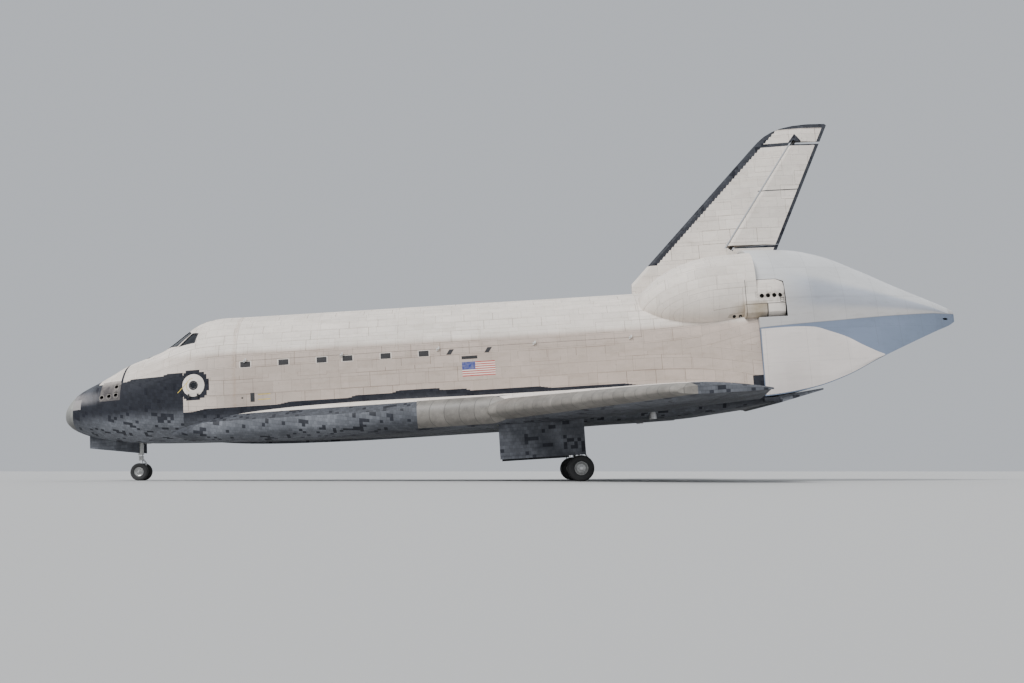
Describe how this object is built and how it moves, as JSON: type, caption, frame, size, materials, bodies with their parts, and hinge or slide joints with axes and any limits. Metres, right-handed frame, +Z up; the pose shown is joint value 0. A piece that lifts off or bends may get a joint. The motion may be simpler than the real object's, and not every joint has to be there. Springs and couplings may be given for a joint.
{
  "type": "space shuttle orbiter with ferry tail cone, 1:2 scale model",
  "caption": "Winged spaceplane on its landing gear with payload bay doors, crew cabin, swept fin, elevons and a streamlined tail cone over its engines.",
  "frame": {"origin": "on the floor under the middle of the vehicle's length and width, as it stands on its tyres", "axes": "+X towards the tail, +Y to starboard, +Z up; the vehicle's own axis is pitched 3.5 degrees nose down"},
  "size_m": [21.1114, 11.8948, 8.6814],
  "materials": {
    "white_blanket": "matte",
    "black_tile": "matte",
    "carbon_edge": "matte",
    "tail_cone_skin": "satin",
    "window_glass": "gloss",
    "inner_metal": "matte",
    "radiator_panel": "gloss",
    "gear_steel": "satin",
    "tyre": "matte"
  },
  "bodies": {
    "airframe": {"nose_cap": "carbon_edge", "forward_fuselage": "white_blanket", "forward_thruster_module": "white_blanket", "windshield": "window_glass", "overhead_windows": "window_glass", "flight_deck": "inner_metal", "crew_seats": "inner_metal", "cabin_rear_bulkhead": "inner_metal", "mid_fuselage": "white_blanket", "aft_fuselage": "white_blanket", "pod_port": "white_blanket", "pod_starboard": "white_blanket", "main_engine_block": "inner_metal", "tail_cone": "tail_cone_skin", "fin": "white_blanket", "wing_port": "white_blanket", "wing_starboard": "white_blanket", "leading_edge_port": "carbon_edge", "leading_edge_starboard": "carbon_edge", "forward_attach": "gear_steel", "aft_attach_port": "gear_steel", "aft_attach_starboard": "gear_steel", "nose_leg": "gear_steel", "nose_door_port": "black_tile", "nose_door_starboard": "black_tile", "main_leg_port": "gear_steel", "main_leg_starboard": "gear_steel", "main_door_port": "black_tile", "main_door_starboard": "black_tile"},
    "hatch": {"side_hatch": "white_blanket", "hatch_window": "window_glass"},
    "rudder": {"rudder_shaft": "gear_steel"},
    "body_flap": {"body_flap": "black_tile"},
    "nose_steering": {"nose_axle": "gear_steel"},
    "nose_wheels": {"nose_rim_port": "gear_steel", "nose_rim_starboard": "gear_steel", "nose_tyre_port": "tyre", "nose_tyre_starboard": "tyre"},
    "bay_door_port": {"payload_door_port": "white_blanket", "radiator_port": "radiator_panel"},
    "brake_panel_port": {"speed_brake_port": "white_blanket"},
    "elevon_inboard_port": {"elevon_inboard_port": "black_tile"},
    "elevon_outboard_port": {"elevon_outboard_port": "black_tile"},
    "main_wheels_port": {"main_rim_outer_port": "gear_steel", "main_rim_inner_port": "gear_steel", "main_tyre_outer_port": "tyre", "main_tyre_inner_port": "tyre"},
    "bay_door_starboard": {"payload_door_starboard": "white_blanket", "radiator_starboard": "radiator_panel"},
    "brake_panel_starboard": {"speed_brake_starboard": "white_blanket"},
    "elevon_inboard_starboard": {"elevon_inboard_starboard": "black_tile"},
    "elevon_outboard_starboard": {"elevon_outboard_starboard": "black_tile"},
    "main_wheels_starboard": {"main_rim_outer_starboard": "gear_steel", "main_rim_inner_starboard": "gear_steel", "main_tyre_outer_starboard": "tyre", "main_tyre_inner_starboard": "tyre"}
  },
  "joints": [
    {"name": "side_hatch_hinge", "type": "hinge", "parent": "airframe", "child": "hatch", "pos_m": [-7.18029, -1.32588, 1.87629], "axis": [0.9981, 0, 0.061], "range_deg": [0, 90]},
    {"name": "payload_door_port_hinge", "type": "hinge", "parent": "airframe", "child": "bay_door_port", "pos_m": [-1.66128, -1.35636, 2.96709], "axis": [0.9981, 0, 0.061], "range_deg": [0, 175.5]},
    {"name": "payload_door_starboard_hinge", "type": "hinge", "parent": "airframe", "child": "bay_door_starboard", "pos_m": [-1.66128, 1.35636, 2.96709], "axis": [-0.9981, 0, -0.061], "range_deg": [0, 175.5]},
    {"name": "rudder_hinge", "type": "hinge", "parent": "airframe", "child": "rudder", "pos_m": [6.07735, 0, 6.87716], "axis": [0.5199, 0, 0.8542], "range_deg": [-27.1, 27.1]},
    {"name": "speed_brake_port_hinge", "type": "hinge", "parent": "rudder", "child": "brake_panel_port", "pos_m": [6.07735, 0, 6.87716], "axis": [-0.5199, 0, -0.8542], "range_deg": [0, 49.3]},
    {"name": "speed_brake_starboard_hinge", "type": "hinge", "parent": "rudder", "child": "brake_panel_starboard", "pos_m": [6.07735, 0, 6.87716], "axis": [0.5199, 0, 0.8542], "range_deg": [0, 49.3]},
    {"name": "body_flap_hinge", "type": "hinge", "parent": "airframe", "child": "body_flap", "pos_m": [5.90446, 0, 1.79865], "axis": [0, 1, 0], "range_deg": [0, 34.25]},
    {"name": "nose_steering_pivot", "type": "hinge", "parent": "airframe", "child": "nose_steering", "pos_m": [-8.7561, 0, 0.5966], "axis": [-0.061, 0, 0.9981], "range_deg": [-10, 10]},
    {"name": "nose_wheels_spin", "type": "hinge", "parent": "nose_steering", "child": "nose_wheels", "pos_m": [-8.73204, 0, 0.2032], "axis": [0, 1, 0], "continuous": true},
    {"name": "elevon_inboard_port_hinge", "type": "hinge", "parent": "airframe", "child": "elevon_inboard_port", "pos_m": [4.04956, -2.8448, 1.75346], "axis": [-0.0003, 1, 0.0044], "range_deg": [-35, 20]},
    {"name": "elevon_outboard_port_hinge", "type": "hinge", "parent": "airframe", "child": "elevon_outboard_port", "pos_m": [4.05011, -4.9149, 1.74445], "axis": [-0.0003, 1, 0.0044], "range_deg": [-35, 20]},
    {"name": "main_wheels_port_spin", "type": "hinge", "parent": "airframe", "child": "main_wheels_port", "pos_m": [1.50571, -1.7272, 0.28258], "axis": [0, 1, 0], "continuous": true},
    {"name": "elevon_inboard_starboard_hinge", "type": "hinge", "parent": "airframe", "child": "elevon_inboard_starboard", "pos_m": [4.04956, 2.8448, 1.75346], "axis": [0.0003, 1, -0.0044], "range_deg": [-35, 20]},
    {"name": "elevon_outboard_starboard_hinge", "type": "hinge", "parent": "airframe", "child": "elevon_outboard_starboard", "pos_m": [4.05011, 4.9149, 1.74445], "axis": [0.0003, 1, -0.0044], "range_deg": [-35, 20]},
    {"name": "main_wheels_starboard_spin", "type": "hinge", "parent": "airframe", "child": "main_wheels_starboard", "pos_m": [1.50571, 1.7272, 0.28258], "axis": [0, 1, 0], "continuous": true}
  ],
  "couplings": [
    {"joint": "speed_brake_starboard_hinge", "follows": "speed_brake_port_hinge", "ratio": 1}
  ]
}
